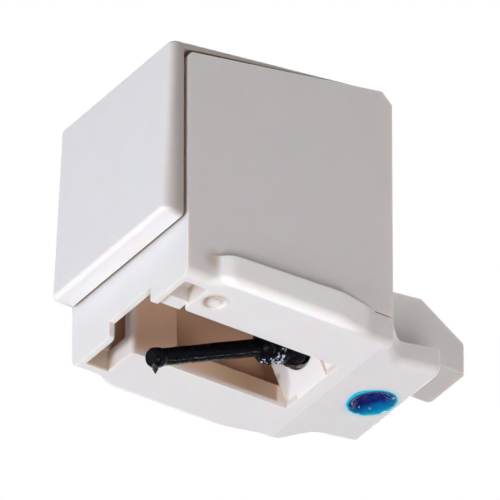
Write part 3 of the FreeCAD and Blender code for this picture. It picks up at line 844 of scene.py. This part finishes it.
class STYLUS_OT_seal(bpy.types.Operator):
    """Make the blue lacquer seal on the tongue"""

    bl_idname = "stylus.seal"
    bl_label = "Colour seal"

    def execute(self, context):
        seal = context.scene.stylus_seal
        mesh = lacquer_mesh(seal)
        mesh.materials.append(blue_lacquer(seal))
        piece = bpy.data.objects.new("lacquer_pool", mesh)
        context.scene.collection.objects.link(piece)
        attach(piece, "holder")
        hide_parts("colour_seal")
        return {"FINISHED"}


# Stage

SKY_TINT = (1, 0.955, 0.94)
FLOOR_HALF = 4.0
LAMP_AIM = Vector((0, -4, 0)) * MM
COOL, PLAIN, WARM = (0.875, 0.925, 1.0), (1.0, 1.0, 1.0), (1.0, 0.95, 0.92)

# Each lamp's name, place and width in metres, power in watts, and colour
LAMPS = (
    ("front_left_lamp", (-0.1, -0.235, -0.147), 0.07, 0.38, COOL),
    ("front_right_lamp", (0.04, -0.245, -0.147), 0.07, 0.35, COOL),
    ("right_lamp", (0.189, -0.04, -0.23), 0.12, 0.42, WARM),
    ("low_rear_lamp", (0.045, 0.258, -0.141), 0.03, 0.14, COOL),
    ("top_lamp", (-0.1, 0.12, 0.25), 0.22, 0.3, PLAIN),
    ("rear_lamp", (-0.2, 0.2, 0.08), 0.2, 0.35, PLAIN),
)


def place_camera(scene, stage):
    """A camera that looks at the target from the stage's azimuth and elevation."""
    turn, rise = stage.azimuth, stage.elevation
    level = Vector((math.sin(turn), -math.cos(turn), 0))
    back = level * math.cos(rise) + Vector((0, 0, math.sin(rise)))
    camera = bpy.data.objects.new("camera", bpy.data.cameras.new("camera"))
    camera.data.lens = camera.data.sensor_width * stage.distance / stage.picture_width
    camera.data.clip_start = 0.01
    camera.location = Vector(stage.target) + back * stage.distance
    camera.rotation_euler = (-back).to_track_quat("-Z", "Y").to_euler()
    scene.collection.objects.link(camera)
    scene.camera = camera


def seen_directly(tree):
    """One for rays from the camera, from a reflection or through glass, and zero for the rest."""
    path = add(tree, "ShaderNodeLightPath").outputs
    glossy = maths(tree, "MAXIMUM", path["Is Camera Ray"], path["Is Glossy Ray"])
    return maths(tree, "MAXIMUM", glossy, path["Is Transmission Ray"])


def light_world(scene, stage):
    """An even, faintly warm light from all sides, in front of a white background."""
    world = bpy.data.worlds.new("studio")
    scene.world = world
    world.use_nodes = True
    tree = world.node_tree
    tree.nodes.clear()
    light = add(tree, "ShaderNodeBackground", {"Color": (*SKY_TINT, 1), "Strength": stage.sky})
    white = add(tree, "ShaderNodeBackground", {"Color": (1, 1, 1, 1), "Strength": 1.0})
    shares = {0: seen_directly(tree), 1: light.outputs[0], 2: white.outputs[0]}
    both = add(tree, "ShaderNodeMixShader", shares)
    add(tree, "ShaderNodeOutputWorld", {"Surface": both.outputs[0]})


def lay_floor(scene, stage):
    """A pale floor far below the object."""
    corners = ((-1, -1), (1, -1), (1, 1), (-1, 1))
    points = [(FLOOR_HALF * x, FLOOR_HALF * y, -stage.floor_drop) for x, y in corners]
    mesh = bpy.data.meshes.new("floor")
    mesh.from_pydata(points, [], [(0, 1, 2, 3)])
    floor = bpy.data.objects.new("floor", mesh)
    scene.collection.objects.link(floor)
    pale = surface("pale_floor", base_color=(0.82, 0.82, 0.82), roughness=0.8)[0]
    mesh.materials.append(pale)


def hang_lamp(scene, name, place, width, power, light_colour):
    """A square lamp at a place, turned to the object."""
    lamp = bpy.data.lights.new(name, "AREA")
    lamp.size = width
    lamp.energy = power
    lamp.color = light_colour
    holder = bpy.data.objects.new(name, lamp)
    holder.location = place
    holder.rotation_euler = (LAMP_AIM - Vector(place)).to_track_quat("-Z", "Y").to_euler()
    scene.collection.objects.link(holder)


class STYLUS_OT_stage(bpy.types.Operator):
    """Add the camera, lamps, floor and pale background"""

    bl_idname = "stylus.stage"
    bl_label = "Stage"

    def execute(self, context):
        scene = context.scene
        stage = scene.stylus_stage
        scene.view_settings.view_transform = "Standard"
        place_camera(scene, stage)
        light_world(scene, stage)
        lay_floor(scene, stage)
        for lamp in LAMPS:
            hang_lamp(scene, *lamp)
        return {"FINISHED"}


# Panel and registration

class STYLUS_PT_panel(bpy.types.Panel):
    """Lists the settings and the steps"""

    bl_idname = "STYLUS_PT_panel"
    bl_label = "Turntable Stylus"
    bl_space_type = "VIEW_3D"
    bl_region_type = "UI"
    bl_category = "Stylus"

    def draw(self, context):
        layout = self.layout
        for key, kind in GROUPS.items():
            column = layout.column()
            for name in kind.__annotations__:
                column.prop(getattr(context.scene, key), name)
        for step in STEPS:
            layout.operator(step.bl_idname)


GROUPS = {
    "stylus_plastic": StylusPlastic,
    "stylus_rod": StylusRod,
    "stylus_damper": StylusDamper,
    "stylus_metals": StylusMetals,
    "stylus_seal": StylusSeal,
    "stylus_stage": StylusStage,
}
STEPS = (
    STYLUS_OT_plastic,
    STYLUS_OT_rod,
    STYLUS_OT_damper,
    STYLUS_OT_metals,
    STYLUS_OT_seal,
    STYLUS_OT_stage,
)


def register():
    for kind in (*GROUPS.values(), *STEPS, STYLUS_PT_panel):
        bpy.utils.register_class(kind)
    for name, kind in GROUPS.items():
        setattr(bpy.types.Scene, name, PointerProperty(type=kind))


def unregister():
    for name in GROUPS:
        delattr(bpy.types.Scene, name)
    for kind in reversed((*GROUPS.values(), *STEPS, STYLUS_PT_panel)):
        bpy.utils.unregister_class(kind)


def main():
    register()
    for step in STEPS:
        family, name = step.bl_idname.split(".")
        getattr(getattr(bpy.ops, family), name)()


if __name__ == "__main__":
    main()
